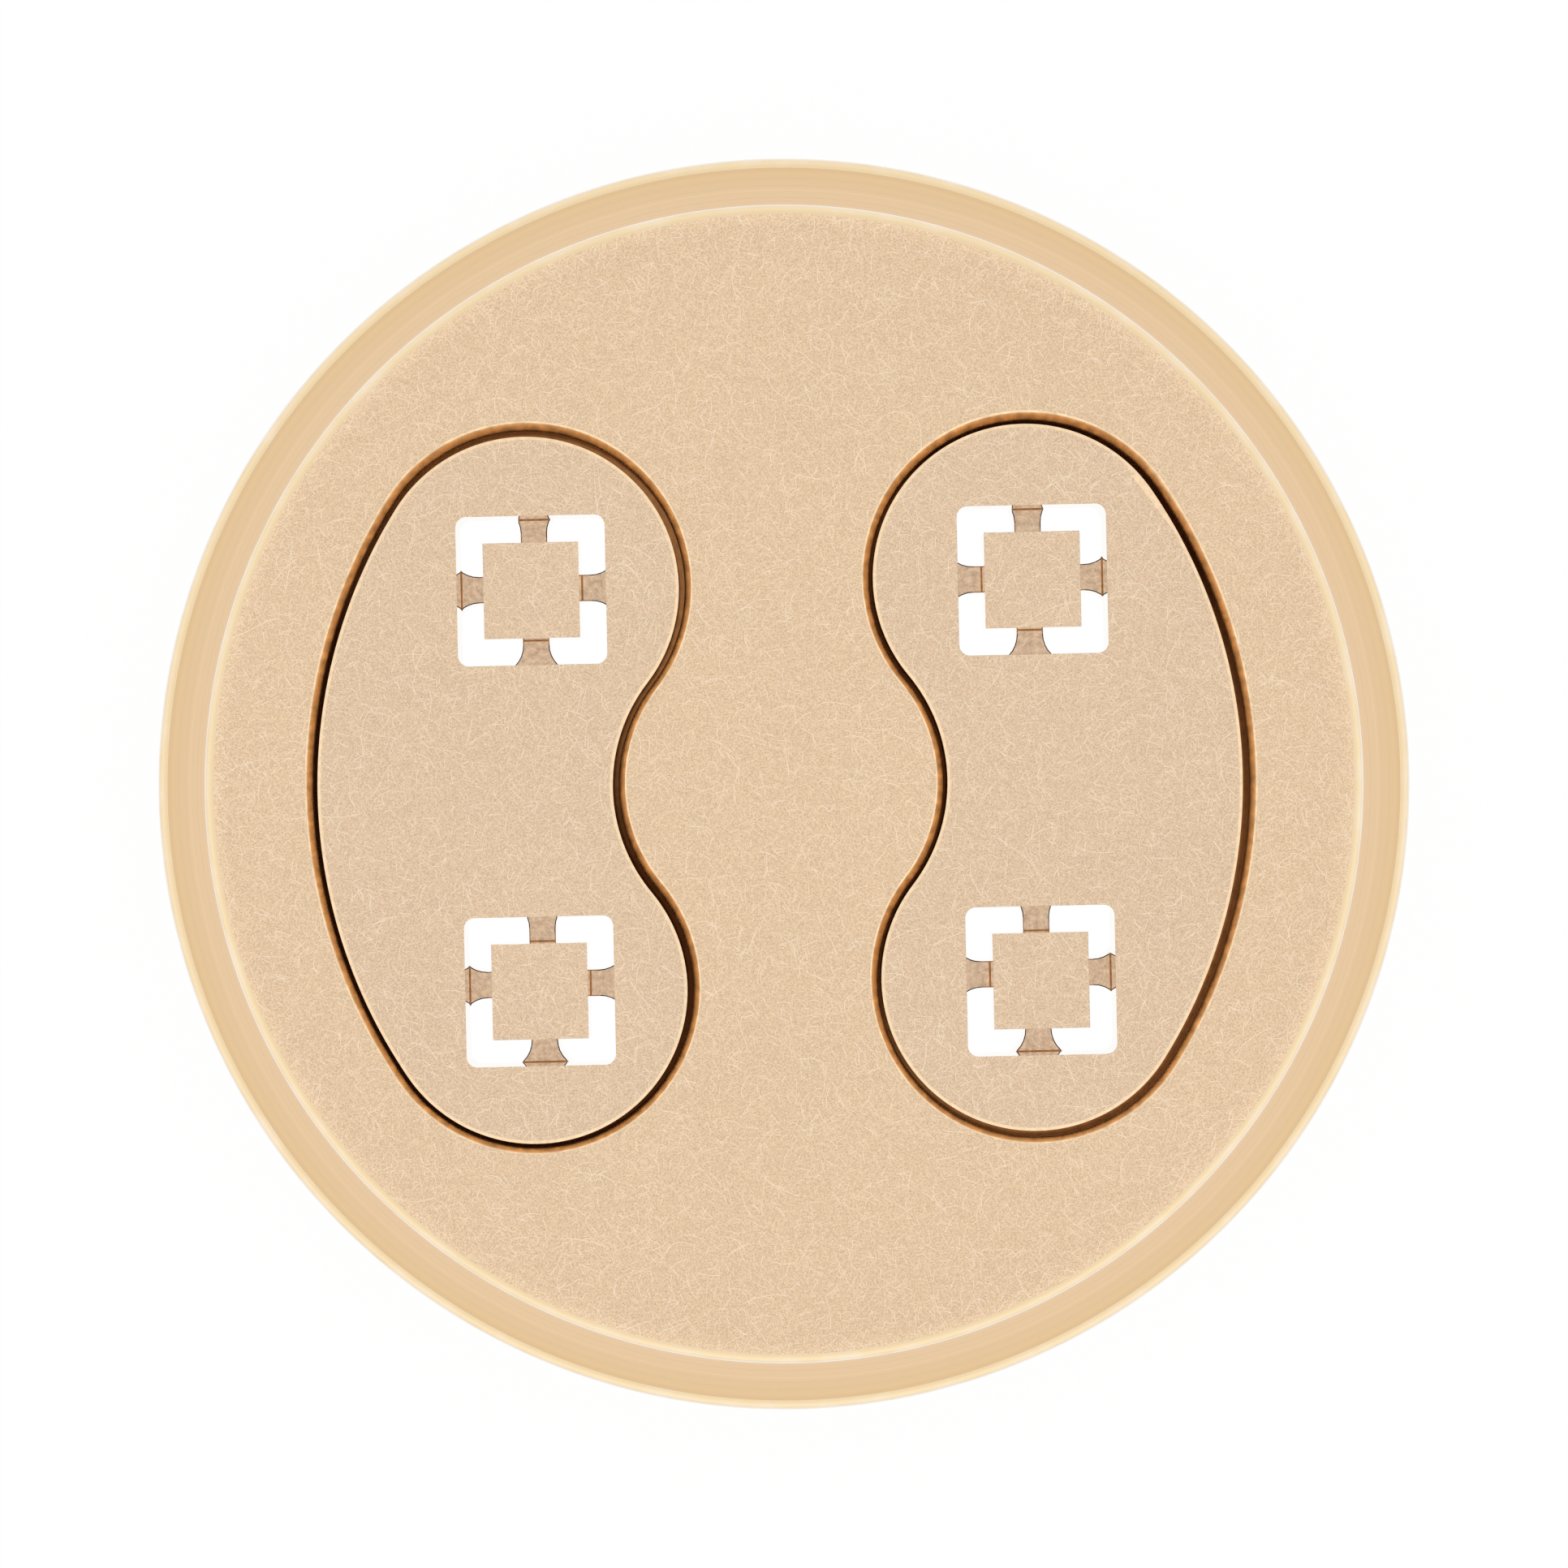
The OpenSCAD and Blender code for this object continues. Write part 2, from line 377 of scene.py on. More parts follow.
def lapped_bronze(name, base, finish, disc):
    """Tin bronze lapped by hand: a pale, finely mottled satin full of bright hairs, paler at the rim."""
    material = start_material(name)
    tree = material.node_tree
    place = place_mm(tree)
    # The grain is drawn a little coarser than it is, so that it shows
    grain, grain_tone = mottled(tree, place, finish.grain, spread=0.22)
    cloud_size = 6.0
    _, cloud_tone = mottled(tree, place, cloud_size, spread=0.01)
    even = add(tree, MATH, {0: grain_tone, 1: cloud_tone}, operation="MULTIPLY")
    rub_end = disc.boss_radius - disc.edge
    span = {"From Min": rub_end - finish.pale_border, "From Max": rub_end, "To Min": 1.0, "To Max": BORDER_TONE}
    whiter = add(tree, RANGE, {"Value": off_axis(tree, place), **span})
    tone = add(tree, MATH, {0: even, 1: whiter}, operation="MULTIPLY")
    hair = hair_scratches(tree, place, finish.hair_width)
    colours = {"Factor": hair, "A": shaded(tree, base, tone), "B": finish.hair}
    scratched = add(tree, MIX, colours, data_type="RGBA")
    end_bronze(tree, scratched, roughness=0.42, height=grain, bump=0.15)
    return material


# How much lighter and darker the lathe's rings get
RING_TONE = {"From Min": 0.25, "From Max": 0.75, "To Min": 0.96, "To Max": 1.04}


def turned_bronze(finish, disc):
    """Tin bronze left from the lathe: fine rings, drawn nearly twice as wide as they are to show."""
    material = start_material("turned_tin_bronze")
    tree = material.node_tree
    place = place_mm(tree)
    radius = off_axis(tree, place)
    parts = add(tree, SEPARATE, {0: place})
    feed = add(tree, MATH, {0: radius, 1: parts.outputs["Z"]}, operation="ADD")
    rings = {"W": feed, "Scale": 1 / finish.groove, "Detail": 1.0}
    groove = add(tree, NOISE, rings, noise_dimensions="1D")
    tone = add(tree, RANGE, {"Value": groove, **RING_TONE})
    across = add(tree, RANGE, {"Value": radius, "From Min": disc.boss_radius, "From Max": disc.rim_radius})
    base = add(tree, MIX, {"Factor": across, "A": finish.shoulder, "B": finish.rim}, data_type="RGBA")
    end_bronze(tree, shaded(tree, base, tone), roughness=0.3, height=groove, bump=0.2)
    return material


# Rise of a rounded edge's normal over which the painted white sheen sets in as the edge turns to the side,
# and the sum with the rubbed patches over which the edge turns white
SHEEN_RISE = {"From Min": 0.85, "From Max": 0.4}
SHEEN_AND_RUB_SPAN = {"From Min": 0.5, "From Max": 1.5}


def rounded_bronze(finish):
    """Tin bronze of the rounded edges: smooth, painted lighter than the face as a highlight, and painted
    nearly white as a sheen where they turn to the side, with random rubbed patches.
    """
    material = start_material("rounded_tin_bronze")
    tree = material.node_tree
    patch_size = 1.6
    patches = {"Vector": place_mm(tree), "Scale": 1 / patch_size, "Detail": SPOT_DETAIL}
    patch = add(tree, NOISE, patches)
    own = add(tree, "ShaderNodeTexCoord")
    way = add(tree, SEPARATE, {0: own.outputs["Normal"]})
    # Whiter where the edge's normal turns to the side, a painted sheen; the random patches add rubbed spots
    lower = add(tree, RANGE, {"Value": way.outputs["Z"], **SHEEN_RISE})
    whiter = add(tree, MATH, {0: lower, 1: patch}, operation="ADD")
    white_sheen = add(tree, RANGE, {"Value": whiter, **SHEEN_AND_RUB_SPAN})
    base = add(tree, MIX, {"Factor": white_sheen, "A": finish.edge, "B": finish.white_sheen}, data_type="RGBA")
    end_bronze(tree, base, roughness=0.2, height=patch, bump=0.1)
    return material


def bevelled_bronze(finish):
    """Tin bronze of the hand-cut bevels: fresh metal with faint file marks."""
    material = start_material("filed_tin_bronze")
    tree = material.node_tree
    mark_size = 0.25
    mark, tone = mottled(tree, place_mm(tree), mark_size, spread=0.09)
    end_bronze(tree, shaded(tree, finish.bevel, tone), roughness=0.24, height=mark, bump=0.15)
    return material


# Blotches of the tarnish: their size in millimetres, and how much lighter or darker they are
BLOTCH = {"size": 0.4, "spread": 0.17}
# Depths below the face, in millimetres, at which the darkening starts and is full: partly tarnish, partly
# painted shade of the deep gap
BEVEL_TARNISH_AND_SHADE = (0.08, 0.95)
WINDOW_TARNISH_AND_SHADE = (1.5, 3.2)
NOSE_TARNISH_AND_SHADE = (0.6, 2.2)


def gap_bronze(name, finish, disc, depths):
    """Tin bronze of the walls round the gap: bright at the top and browner deeper down, partly tarnish and
    partly painted shade of the deep gap.
    """
    material = start_material(name)
    tree = material.node_tree
    place = place_mm(tree)
    parts = add(tree, SEPARATE, {0: place})
    blotch, tone = mottled(tree, place, **BLOTCH)
    bright_z, brown_z = [disc.thickness - depth for depth in depths]
    # Browner with depth: tarnish together with painted shade of the gap
    deep = add(tree, RANGE, {"Value": parts.outputs["Z"], "From Min": bright_z, "From Max": brown_z})
    base = add(tree, MIX, {"Factor": deep, "A": finish.bevel, "B": finish.tarnish_and_shade}, data_type="RGBA")
    end_bronze(tree, shaded(tree, base, tone), roughness=0.22, height=blotch, bump=0.04)
    return material


# Stretch in millimetres, from an insert's middle, over which the painted shade at the foot of the gap turns
# from black to brown
NARROW_SHADE_SPAN = {"From Min": 0.0, "From Max": 9.0}


def seated_bronze(name, finish, middle_x, lie):
    """Tin bronze at the foot of the gap: brown on its wide side, and painted nearly black as shade where the
    gap is narrow.
    """
    material = start_material(name)
    tree = material.node_tree
    place = place_mm(tree)
    from_middle = add(tree, VECTOR, {0: place, 1: (middle_x, 0.0, 0.0)}, operation="SUBTRACT")
    wide_way = [-share / math.hypot(*lie) for share in lie]
    wide = add(tree, VECTOR, {0: from_middle, 1: (*wide_way, 0.0)}, operation="DOT_PRODUCT")
    # Painted shade: black where the gap is narrow, brown where it is wide
    out_of_shade = add(tree, RANGE, {"Value": wide, **NARROW_SHADE_SPAN})
    base = add(tree, MIX, {"Factor": out_of_shade, "A": finish.shaded_narrow_seat, "B": finish.seat}, data_type="RGBA")
    blotch, tone = mottled(tree, place, **BLOTCH)
    end_bronze(tree, shaded(tree, base, tone), roughness=0.06, height=blotch, bump=0.02)
    return material


# How much lighter and darker the end mill's marks get
MARK_TONE = {"From Min": -1.0, "From Max": 1.0, "To Min": 0.95, "To Max": 1.03}


def milled_bronze(finish):
    """Tin bronze left from the end mill: faint curved marks where the cutter turned, and dull spots."""
    material = start_material("milled_tin_bronze")
    tree = material.node_tree
    place = place_mm(tree)
    cells = {"Vector": place, "Scale": 1 / finish.sweep}
    cell = add(tree, "ShaderNodeTexVoronoi", cells, voronoi_dimensions="2D")
    rings = finish.sweep / finish.cutter * math.tau
    phase = add(tree, MATH, {0: cell.outputs["Distance"], 1: rings}, operation="MULTIPLY")
    mark = add(tree, MATH, {0: phase}, operation="SINE")
    tone = add(tree, RANGE, {"Value": mark, **MARK_TONE})
    spot_size = 0.25
    _, spot_tone = mottled(tree, place, spot_size, spread=0.22)
    both = add(tree, MATH, {0: tone, 1: spot_tone}, operation="MULTIPLY")
    end_bronze(tree, shaded(tree, finish.slot, both), roughness=0.2, height=mark, bump=0.12)
    return material


def edge_shade_bronze(finish):
    """Tin bronze in the corners and along the edges of the cross, painted darker as the shade of these
    narrow edges.
    """
    material = start_material("edge_shade_tin_bronze")
    tree = material.node_tree
    fleck_size = 0.3
    fleck, tone = mottled(tree, place_mm(tree), fleck_size, spread=0.25)
    end_bronze(tree, shaded(tree, finish.corner, tone), roughness=0.3, height=fleck, bump=0.1)
    return material


def honed_bronze(finish):
    """Tin bronze of the slots' walls, honed smooth and painted nearly white, a painted reflection of the
    paper below.
    """
    material = start_material("honed_tin_bronze")
    tree = material.node_tree
    streak_size = 0.5
    _, tone = mottled(tree, place_mm(tree), streak_size, spread=0.05)
    # The nearly white colour is a painted reflection of the white paper
    end_bronze(tree, shaded(tree, finish.white_sheen, tone), roughness=0.03)
    return material


def loop_edges(bm, loop):
    """Edges between the neighbours of a closed row of vertices."""
    return [bm.edges.get(pair) for pair in zip(loop, loop[1:] + loop[:1])]


def kidney_loop(bm, pocket, offset, z, side, shift=(0.0, 0.0)):
    """Kidney outline grown by offset: outer arc, round end, inner arc and round end, spun in turn."""
    outer_turn = math.atan2(pocket.end_y, pocket.end_x + pocket.arc_back)
    inner_turn = math.atan2(pocket.end_y, pocket.end_x)
    end_turn = math.pi + inner_turn - outer_turn
    outer_radius = math.hypot(pocket.end_x + pocket.arc_back, pocket.end_y) + pocket.end_radius + offset
    arcs = (
        (-pocket.arc_back, 0.0, 2 * outer_turn, OUTER_STEPS),
        (pocket.end_x, pocket.end_y, end_turn, END_STEPS),
        (0.0, 0.0, -2 * inner_turn, INNER_STEPS),
        (pocket.end_x, -pocket.end_y, end_turn, END_STEPS),
    )
    start_x = outer_radius * math.cos(outer_turn) - pocket.arc_back
    first = tip = bm.verts.new((start_x, -outer_radius * math.sin(outer_turn), z))
    for x, y, angle, steps in arcs:
        spun = bmesh.ops.spin(bm, geom=[tip], cent=(x, y, z), axis=(0, 0, 1), angle=angle, steps=steps)
        tip = spun["geom_last"][0]
    loop = [first]
    while loop[-1] is not tip:
        ahead = [edge.other_vert(loop[-1]) for edge in loop[-1].link_edges]
        loop.append(next(vert for vert in ahead if vert not in loop[-2:]))
    bmesh.ops.weld_verts(bm, targetmap={loop.pop(): first})
    bmesh.ops.scale(bm, vec=(side, 1, 1), verts=loop)
    bmesh.ops.translate(bm, vec=(shift[0] - pocket.left, shift[1], 0.0), verts=loop)
    return loop


def join_loops(bm, loops, zones):
    """Walls between each loop and the next, each with its zone of finish."""
    for upper, lower, zone in zip(loops, loops[1:], zones):
        made = bmesh.ops.bridge_loops(bm, edges=loop_edges(bm, upper) + loop_edges(bm, lower))
        for face in made["faces"]:
            face.material_index = zone


def fill_level(bm, z, zone):
    """Flat face at a height, between all the open edges there."""
    edges = [e for e in bm.edges if e.is_boundary and all(abs(v.co.z - z) < MERGE for v in e.verts)]
    made = bmesh.ops.triangle_fill(bm, use_beauty=True, edges=edges, normal=(0, 0, 1))
    for item in made["geom"]:
        if isinstance(item, bmesh.types.BMFace):
            item.material_index = zone


def bmesh_object(bm, name, materials):
    """Object from a bmesh, linked to the scene."""
    mesh = bpy.data.meshes.new(name)
    bm.to_mesh(mesh)
    bm.free()
    for material in materials:
        mesh.materials.append(material)
    made = bpy.data.objects.new(name, mesh)
    bpy.context.scene.collection.objects.link(made)
    return made


def take_in(bm, other):
    """Moves what another bmesh holds into a bmesh."""
    mesh = bpy.data.meshes.new("taken_in")
    other.to_mesh(mesh)
    other.free()
    bm.from_mesh(mesh)
    bpy.data.meshes.remove(mesh)


def close_mesh(bm):
    """Merges doubles, turns the faces outwards, and keeps edges sharp between finishes and at corners."""
    bmesh.ops.remove_doubles(bm, verts=bm.verts[:], dist=MERGE)
    bmesh.ops.recalc_face_normals(bm, faces=bm.faces[:])
    for face in bm.faces:
        face.smooth = True
    for edge in bm.edges:
        zones = {face.material_index for face in edge.link_faces}
        edge.smooth = len(zones) == 1 and edge.calc_face_angle(math.pi) < SHARP_ANGLE


def to_metres(bm):
    """Scales a bmesh from millimetres to metres."""
    bmesh.ops.scale(bm, vec=(MM, MM, MM), verts=bm.verts[:])


def place_piece(piece, node):
    """Lets a piece stand for its node, which it hides, and ride on the die."""
    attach(piece, "root")
    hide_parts(node)


# Zones of finish on the disc
FACE, TURNED, ROUNDED, BEVEL, GAP, POCKET = range(6)


def turn_disc(bm, disc):
    """Spins the section of the disc step by step, from the face over boss, shoulder and rim to the rear."""
    edge = disc.edge
    section = (
        (True, disc.boss_radius - edge, disc.thickness - edge, ROUNDED),
        (False, disc.boss_radius, disc.shoulder, TURNED),
        (False, disc.rim_radius - edge, disc.shoulder, TURNED),
        (True, disc.rim_radius - edge, disc.shoulder - edge, ROUNDED),
        (False, disc.rim_radius, edge, TURNED),
        (True, disc.rim_radius - edge, edge, ROUNDED),
    )
    tip = (disc.boss_radius - edge, 0.0, disc.thickness)
    for is_round, x, z, zone in section:
        start = bm.verts.new(tip)
        if is_round:
            spun = bmesh.ops.spin(
                bm, geom=[start], cent=(x, 0, z), axis=(0, 1, 0), angle=math.pi / 2, steps=EDGE_STEPS
            )
            end = spun["geom_last"][0]
        else:
            end = bmesh.ops.extrude_vert_indiv(bm, verts=[start])["verts"][0]
            end.co = (x, 0.0, z)
        tip = end.co.copy()
        known = set(bm.faces)
        wire = [e for e in bm.edges if e.is_wire]
        points = list({vert for e in wire for vert in e.verts})
        turn = {"cent": (0, 0, 0), "axis": (0, 0, 1), "angle": math.tau, "steps": RING_STEPS}
        bmesh.ops.spin(bm, geom=points + wire, use_merge=True, **turn)
        for face in set(bm.faces) - known:
            face.material_index = zone


def pocket_walls(disc, pocket, side):
    """Walls of one pocket: a rounded bevel that leans upwards, the window, the ledge and the wider rear."""
    bm = bmesh.new()
    lip_z = disc.thickness - pocket.lip
    loops = []
    for across, _ in BEVEL_SHAPE:
        left = 1 - across
        shift = (0.0, pocket.lean * left)
        loops.append(kidney_loop(bm, pocket, pocket.bevel * left, disc.thickness, side, shift))
    widths = [(inner.co - outer.co).length for outer, inner in zip(loops[0], loops[-1])]
    for loop, (_, down) in zip(loops, BEVEL_SHAPE):
        for vert, width in zip(loop, widths):
            vert.co.z -= down * width
    rows = (
        (0.0, lip_z),
        (pocket.ledge, lip_z),
        (pocket.ledge, pocket.mouth),
        (pocket.ledge + pocket.mouth, 0.0),
    )
    loops += [kidney_loop(bm, pocket, offset, z, side) for offset, z in rows]
    join_loops(bm, loops, (BEVEL, BEVEL, BEVEL, GAP, POCKET, POCKET, POCKET))
    return bm


class PASTADIE_OT_make_disc(bpy.types.Operator):
    """Turn the disc and cut its two kidney-shaped pockets"""

    bl_idname = "pastadie.make_disc"
    bl_label = "Make Disc"

    def execute(self, context):
        scene = context.scene
        disc = millimetres(scene.pasta_die_disc)
        pocket = millimetres(scene.pasta_die_pocket)
        finish = millimetres(scene.pasta_die_finish)
        bm = bmesh.new()
        turn_disc(bm, disc)
        for side in (-1, 1):
            take_in(bm, pocket_walls(disc, pocket, side))
        bmesh.ops.remove_doubles(bm, verts=bm.verts[:], dist=MERGE)
        fill_level(bm, disc.thickness, FACE)
        fill_level(bm, 0.0, TURNED)
        close_mesh(bm)
        to_metres(bm)
        materials = (
            lapped_bronze("lapped_tin_bronze", finish.face, finish, disc),
            turned_bronze(finish, disc),
            rounded_bronze(finish),
            gap_bronze("tarnish_and_shade_bevel_bronze", finish, disc, BEVEL_TARNISH_AND_SHADE),
            gap_bronze("tarnish_and_shade_tin_bronze", finish, disc, WINDOW_TARNISH_AND_SHADE),
            milled_bronze(finish),
        )
        place_piece(bmesh_object(bm, "disc", materials), "die_body")
        return {"FINISHED"}


# Zones of finish on an insert
NOSE, NOSE_BEVEL, NOSE_WALL, FLANGE, WALL, FLOOR, FEED, CORNER, SEAT = range(9)


def insert_blank(disc, pocket, insert, side, shift):
    """Kidney block of an insert: a nose with a shallow bevel on a wider flange."""
    bm = bmesh.new()
    lip_z = disc.thickness - pocket.lip
    rear_z = lip_z - insert.flange
    flange = pocket.ledge - insert.flange_gap
    rows = [
        (across * insert.bevel - insert.bevel - insert.nose_gap, disc.thickness - down * insert.drop)
        for across, down in BEVEL_SHAPE
    ]
    rows += [
        (-insert.nose_gap, lip_z),
        (flange, lip_z),
        (flange, rear_z + insert.flange_bevel),
        (flange - insert.flange_bevel, rear_z),
    ]
    loops = [kidney_loop(bm, pocket, offset, z, side, shift) for offset, z in rows]
    join_loops(bm, loops, (NOSE_BEVEL, NOSE_BEVEL, NOSE_BEVEL, NOSE_WALL, SEAT, FLANGE, FLANGE))
    fill_level(bm, disc.thickness, NOSE)
    fill_level(bm, rear_z, FLANGE)
    bmesh.ops.recalc_face_normals(bm, faces=bm.faces[:])
    return bm


def rounded_square(bm, width, corner, x, y, z):
    """Flat square with rounded corners."""
    made = bmesh.ops.create_grid(bm, x_segments=1, y_segments=1, size=width / 2)["verts"]
    bmesh.ops.translate(bm, vec=(x, y, z), verts=made)
    if corner:
        shape = {"segments": CORNER_STEPS, "profile": 0.5, "affect": "VERTICES", "material": -1}
        bmesh.ops.bevel(bm, geom=made, offset=corner, **shape)


def raise_faces(bm, height, side_zone, cap_zone):
    """Makes the flat faces a block of a height."""
    flat = bm.faces[:]
    raised = bmesh.ops.extrude_face_region(bm, geom=flat, use_keep_orig=True)["geom"]
    verts = [item for item in raised if isinstance(item, bmesh.types.BMVert)]
    bmesh.ops.translate(bm, vec=(0, 0, height), verts=verts)
    bmesh.ops.recalc_face_normals(bm, faces=bm.faces[:])
    for face in bm.faces:
        face.material_index = cap_zone if abs(face.normal.z) > FLAT_RISE else side_zone


def slot_cutter(slot, x, y, floor_z):
    """Block for one slot: a rounded square round a square core."""
    bm = bmesh.new()
    rounded_square(bm, slot.width, slot.corner, x, y, floor_z)
    rounded_square(bm, slot.core, 0.0, x, y, floor_z)
    bmesh.ops.delete(bm, geom=bm.faces[:], context="FACES_ONLY")
    bmesh.ops.triangle_fill(bm, use_beauty=True, edges=bm.edges[:], normal=(0, 0, 1))
    raise_faces(bm, slot.depth + PAST, WALL, FLOOR)
    return bm


def feed_cutter(slot, x, y, rear_z, floor_z):
    """Blocks for the four feed holes behind a core."""
    bm = bmesh.new()
    middle = (slot.bridge + slot.feed) / 2
    for side_x in (-1, 1):
        for side_y in (-1, 1):
            hole_x = x + side_x * middle
            hole_y = y + side_y * middle + slot.feed_up
            rounded_square(bm, slot.feed, slot.feed_corner, hole_x, hole_y, rear_z - PAST)
    raise_faces(bm, floor_z - rear_z + PAST, FEED, FEED)
    return bm


def filed_cutter(disc, pocket, insert, shift):
    """Block for the flat filed on the right insert, from its upper round end down along the outer arc."""
    bm = bmesh.new()
    nose_radius = pocket.end_radius - insert.nose_gap
    block = bmesh.ops.create_cube(bm, size=1.0)["verts"]
    bmesh.ops.scale(bm, vec=(PAST, insert.filed_length, 2 * PAST), verts=block)
    bmesh.ops.translate(bm, vec=(PAST / 2, -insert.filed_length / 2, 0.0), verts=block)
    bmesh.ops.rotate(bm, matrix=Matrix.Rotation(FILED_SLOPE - math.pi / 2, 3, "Y"), verts=block)
    start_y = nose_radius * math.sin(FILED_START - FILED_TURN)
    bmesh.ops.translate(bm, vec=(nose_radius - insert.filed_width, start_y, disc.thickness), verts=block)
    bmesh.ops.rotate(bm, matrix=Matrix.Rotation(FILED_TURN, 3, "Z"), verts=block)
    end_x = pocket.end_x - pocket.left
    bmesh.ops.translate(bm, vec=(end_x + shift[0], pocket.end_y + shift[1], 0.0), verts=block)
    for face in bm.faces:
        face.material_index = NOSE_BEVEL
    return bm


def cut_from(target, cutters):
    """What is left of a piece when the cutters are taken off it."""
    for cutter in cutters:
        modifier = target.modifiers.new("cut", "BOOLEAN")
        modifier.operation = "DIFFERENCE"
        modifier.solver = "EXACT"
        modifier.material_mode = "INDEX"
        modifier.object = cutter
    bm = bmesh.new()
    bm.from_object(target, bpy.context.evaluated_depsgraph_get())
    for used in [target, *cutters]:
        bpy.data.objects.remove(used)
    return bm


def break_edges(bm, borders, width, new_zone):
    """Breaks the edges at some borders between two zones with a narrow flat."""
    edges = [e for e in bm.edges if {face.material_index for face in e.link_faces} in borders]
    shape = {"segments": 1, "profile": 0.5, "affect": "EDGES", "material": -1, "clamp_overlap": True}
    made = bmesh.ops.bevel(bm, geom=edges, offset=width, **shape)
    for face in made["faces"]:
        face.material_index = new_zone


def flatten_walls(bm):
    """Puts the feet of the cross back into the flat slot walls, where breaking the edges drew them off."""
    for face in bm.faces:
        if face.material_index == WALL:
            top = max(face.verts, key=lambda vert: vert.co.z).co.copy()
            way = face.normal.copy()
            way.z = 0.0
            way.normalize()
            for vert in face.verts:
                vert.co -= (vert.co - top).dot(way) * way


class PASTADIE_OT_make_inserts(bpy.types.Operator):
    """Make both inserts with their square slots, cores and feed holes"""

    bl_idname = "pastadie.make_inserts"
    bl_label = "Make Inserts"

    def execute(self, context):
        scene = context.scene
        disc = millimetres(scene.pasta_die_disc)
        pocket = millimetres(scene.pasta_die_pocket)
        insert = millimetres(scene.pasta_die_insert)
        slot = millimetres(scene.pasta_die_slot)
        finish = millimetres(scene.pasta_die_finish)
        nose = lapped_bronze("lapped_insert_bronze", finish.insert_face, finish, disc)
        bevel = bevelled_bronze(finish)
        gap = gap_bronze("tarnish_and_shade_insert_bronze", finish, disc, NOSE_TARNISH_AND_SHADE)
        milled = milled_bronze(finish)
        honed = honed_bronze(finish)
        shared = (nose, bevel, gap, milled, honed, milled, honed, edge_shade_bronze(finish))
        floor_z = disc.thickness - slot.depth
        rear_z = disc.thickness - pocket.lip - insert.flange
        for way, side, lie in (("left", -1, LEFT_LIES), ("right", 1, RIGHT_LIES)):
            shift = [insert.play * share for share in lie]
            seat = seated_bronze(f"seated_{way}_bronze", finish, side * pocket.end_x, lie)
            materials = (*shared, seat)
            blank = bmesh_object(insert_blank(disc, pocket, insert, side, shift), "blank", materials)
            blocks = [filed_cutter(disc, pocket, insert, shift)] if side > 0 else []
            for end in (-1, 1):
                x = side * pocket.end_x + slot.right
                y = end * pocket.end_y - slot.down
                blocks.append(slot_cutter(slot, x, y, floor_z))
                blocks.append(feed_cutter(slot, x, y, rear_z, floor_z))
            bm = cut_from(blank, [bmesh_object(block, "cutter", materials) for block in blocks])
            break_edges(bm, [{NOSE, WALL}], slot.stoned, NOSE_BEVEL)
            break_edges(bm, [{FLOOR, WALL}, {FLOOR, FEED}], slot.floor_edge, CORNER)
            flatten_walls(bm)
            close_mesh(bm)
            to_metres(bm)
            place_piece(bmesh_object(bm, f"insert_{way}", materials), f"{way}_insert")
        return {"FINISHED"}


# Share of the die's radius where the paper starts to take its shadow, and how white the paper stays there
SHADOW_START = 0.9
SHADOW_WHITE = 0.97


def floor_material(stage, die_radius):
    """Matt white paper: white to the camera and in the metal, with the die's soft shadow kept round it."""
    material = start_material("white_paper")
    tree = material.node_tree
    path = add(tree, "ShaderNodeLightPath")
    seen = path.outputs["Is Camera Ray"]
    for ray in ("Is Glossy Ray", "Is Transmission Ray"):
        seen = add(tree, MATH, {0: seen, 1: path.outputs[ray]}, operation="MAXIMUM")
    middle = add(tree, VECTOR, {0: place_mm(tree)}, operation="LENGTH")
    span = {"From Min": SHADOW_START * die_radius, "From Max": die_radius}
    below = add(tree, RANGE, {"Value": middle, **span, "To Min": 1.0, "To Max": SHADOW_WHITE})
    share = add(tree, MATH, {0: seen, 1: below}, operation="MULTIPLY")
    paper = add(tree, "ShaderNodeBsdfDiffuse", {"Color": stage.floor})
    light = add(tree, "ShaderNodeEmission", {"Color": stage.floor, "Strength": 1.0})
    both = add(tree, "ShaderNodeMixShader", {0: share, 1: paper, 2: light})
    add(tree, "ShaderNodeOutputMaterial", {"Surface": both})
    return material


# Rise of a direction over which the light from the side turns into the light from above
SKY_RISE = {"From Min": 0.55, "From Max": 0.95}


def soft_light(stage):
    """Even studio light, a little brighter from the sides and from the front, and white to the camera."""
    world = bpy.data.worlds.new("soft_studio")
    world.use_nodes = True
    tree = world.node_tree
    tree.nodes.clear()
    own = add(tree, "ShaderNodeTexCoord")
    direction = add(tree, SEPARATE, {0: own.outputs["Generated"]})
    span = {**SKY_RISE, "To Min": stage.horizon, "To Max": stage.zenith}
    strength = add(tree, RANGE, {"Value": direction.outputs["Z"], **span})
    lean = {0: direction.outputs["Y"], 1: -stage.lean, 2: strength}
    front = add(tree, MATH, lean, operation="MULTIPLY_ADD")
    path = add(tree, "ShaderNodeLightPath")
    seen = {"Factor": path.outputs["Is Camera Ray"], "A": front, "B": 1.0}
    shown = add(tree, MIX, seen, data_type="FLOAT")
    sky = add(tree, "ShaderNodeBackground", {"Color": (1.0, 1.0, 1.0), "Strength": shown})
    add(tree, "ShaderNodeOutputWorld", {"Surface": sky})
    bpy.context.scene.world = world


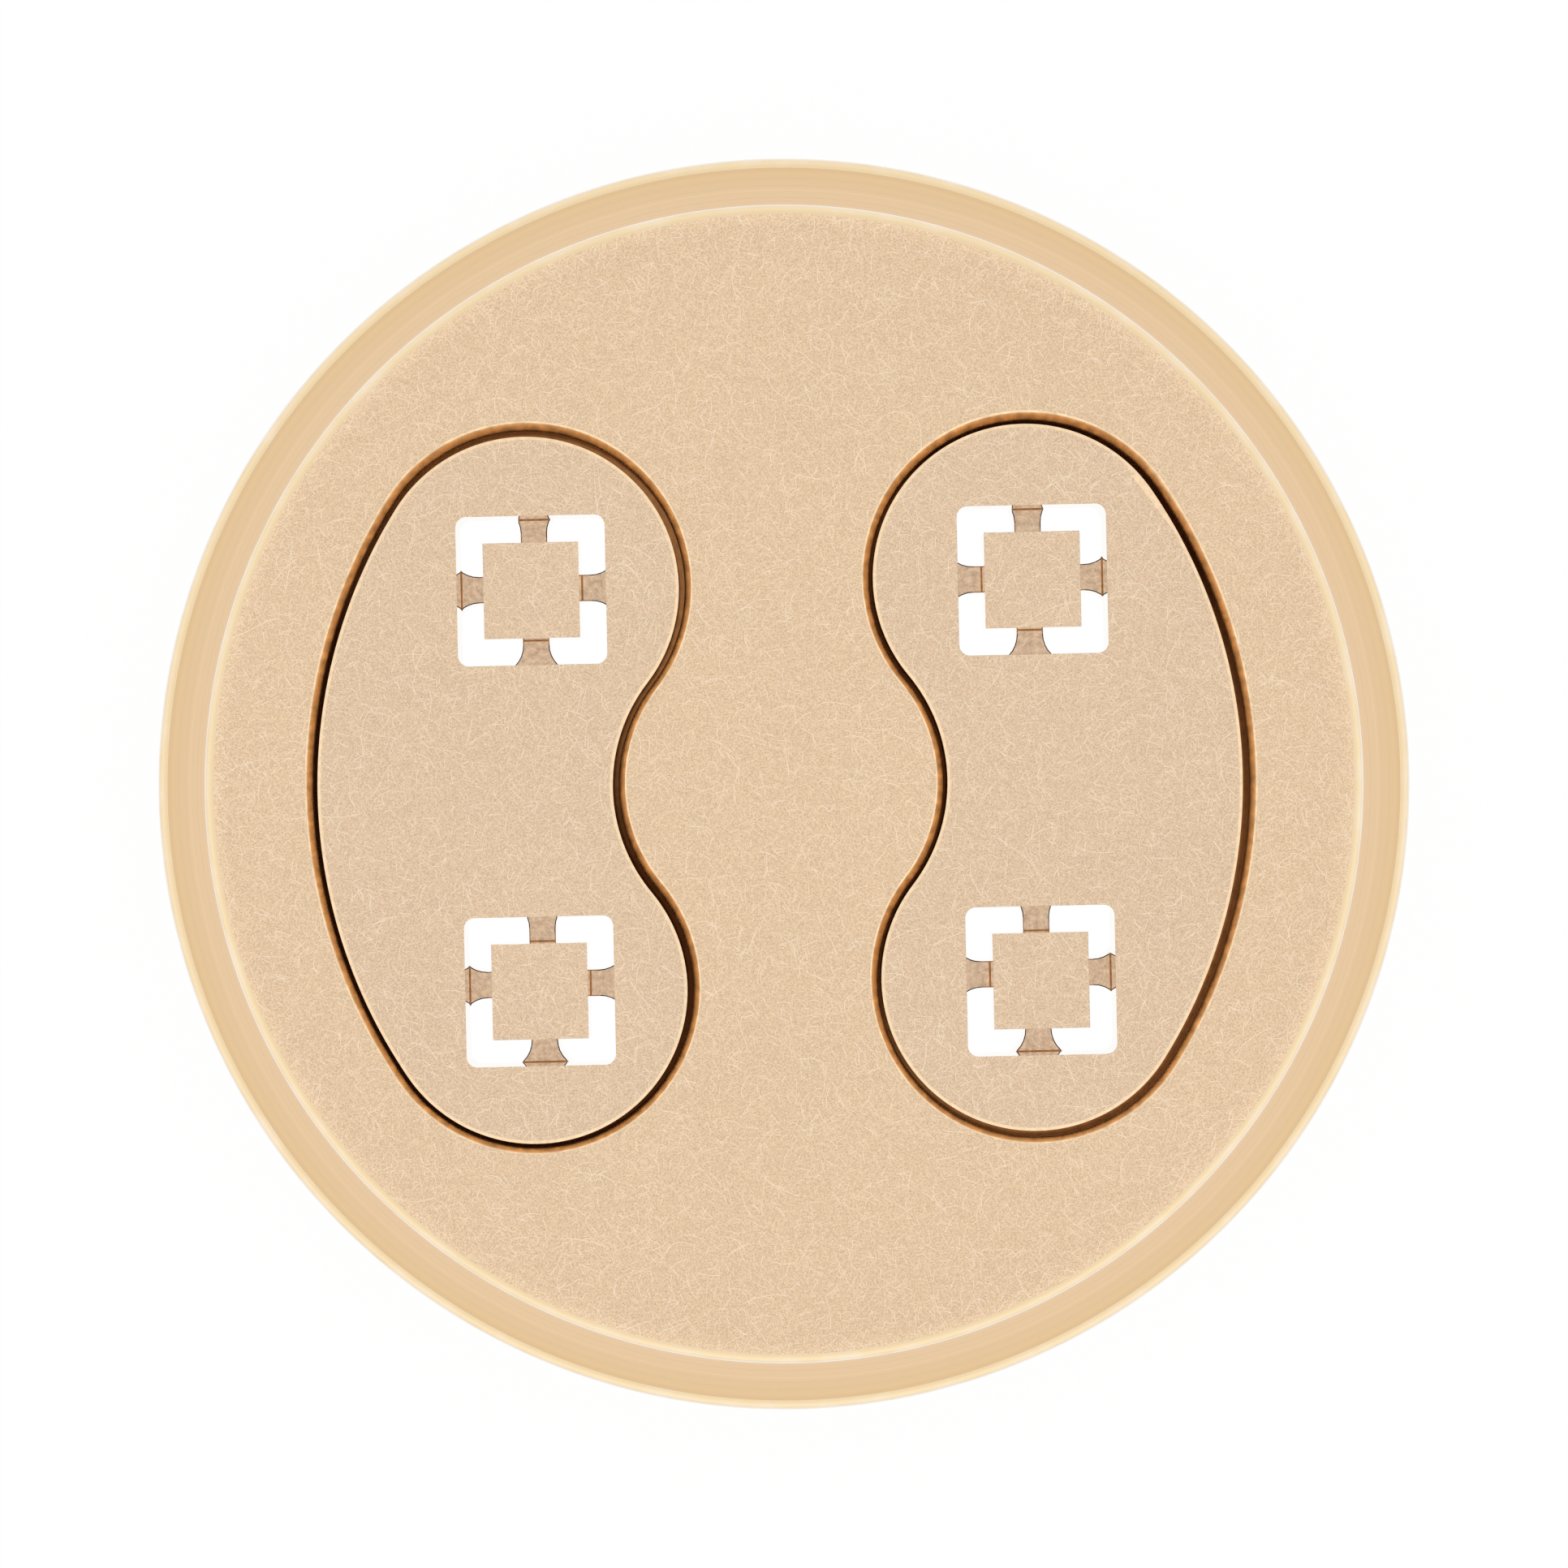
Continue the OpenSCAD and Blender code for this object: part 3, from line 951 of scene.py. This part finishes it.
class PASTADIE_OT_set_stage(bpy.types.Operator):
    """Lay the floor, light the die and look straight down on it"""

    bl_idname = "pastadie.set_stage"
    bl_label = "Set Stage"

    def execute(self, context):
        scene = context.scene
        stage = millimetres(scene.pasta_die_stage)
        disc = millimetres(scene.pasta_die_disc)
        scene.view_settings.view_transform = "Standard"
        bm = bmesh.new()
        bmesh.ops.create_grid(bm, x_segments=1, y_segments=1, size=stage.floor_size / 2)
        to_metres(bm)
        bmesh_object(bm, "floor", (floor_material(stage, disc.rim_radius),))
        soft_light(stage)

        lens = bpy.data.cameras.new("camera")
        lens.lens = lens.sensor_width * stage.camera_height / stage.view_width
        camera = bpy.data.objects.new("camera", lens)
        camera.location.z = (disc.thickness + stage.camera_height) * MM
        camera.rotation_euler.z = stage.turn
        scene.collection.objects.link(camera)
        scene.camera = camera
        return {"FINISHED"}


OPERATORS = (PASTADIE_OT_set_stage, PASTADIE_OT_make_disc, PASTADIE_OT_make_inserts)


class PASTADIE_PT_panel(bpy.types.Panel):
    """Operators and settings of the pasta die"""

    bl_idname = "PASTADIE_PT_panel"
    bl_label = "Pasta Die"
    bl_space_type = "VIEW_3D"
    bl_region_type = "UI"
    bl_category = "Pasta Die"

    def draw(self, context):
        for operator in OPERATORS:
            self.layout.operator(operator.bl_idname)
        for attribute in SETTINGS:
            group = getattr(context.scene, attribute)
            box = self.layout.box()
            for name in setting_names(group):
                box.prop(group, name)


CLASSES = (*SETTINGS.values(), *OPERATORS, PASTADIE_PT_panel)


def register():
    """Adds the classes, and puts their settings on the scene."""
    for cls in CLASSES:
        bpy.utils.register_class(cls)
    for attribute, group in SETTINGS.items():
        setattr(bpy.types.Scene, attribute, PointerProperty(type=group))


def unregister():
    """Takes the settings and the classes away again."""
    for attribute in SETTINGS:
        delattr(bpy.types.Scene, attribute)
    for cls in reversed(CLASSES):
        bpy.utils.unregister_class(cls)


def main():
    """Makes the stage and the die."""
    register()
    bpy.ops.pastadie.set_stage()
    bpy.ops.pastadie.make_disc()
    bpy.ops.pastadie.make_inserts()


if __name__ == "__main__":
    main()
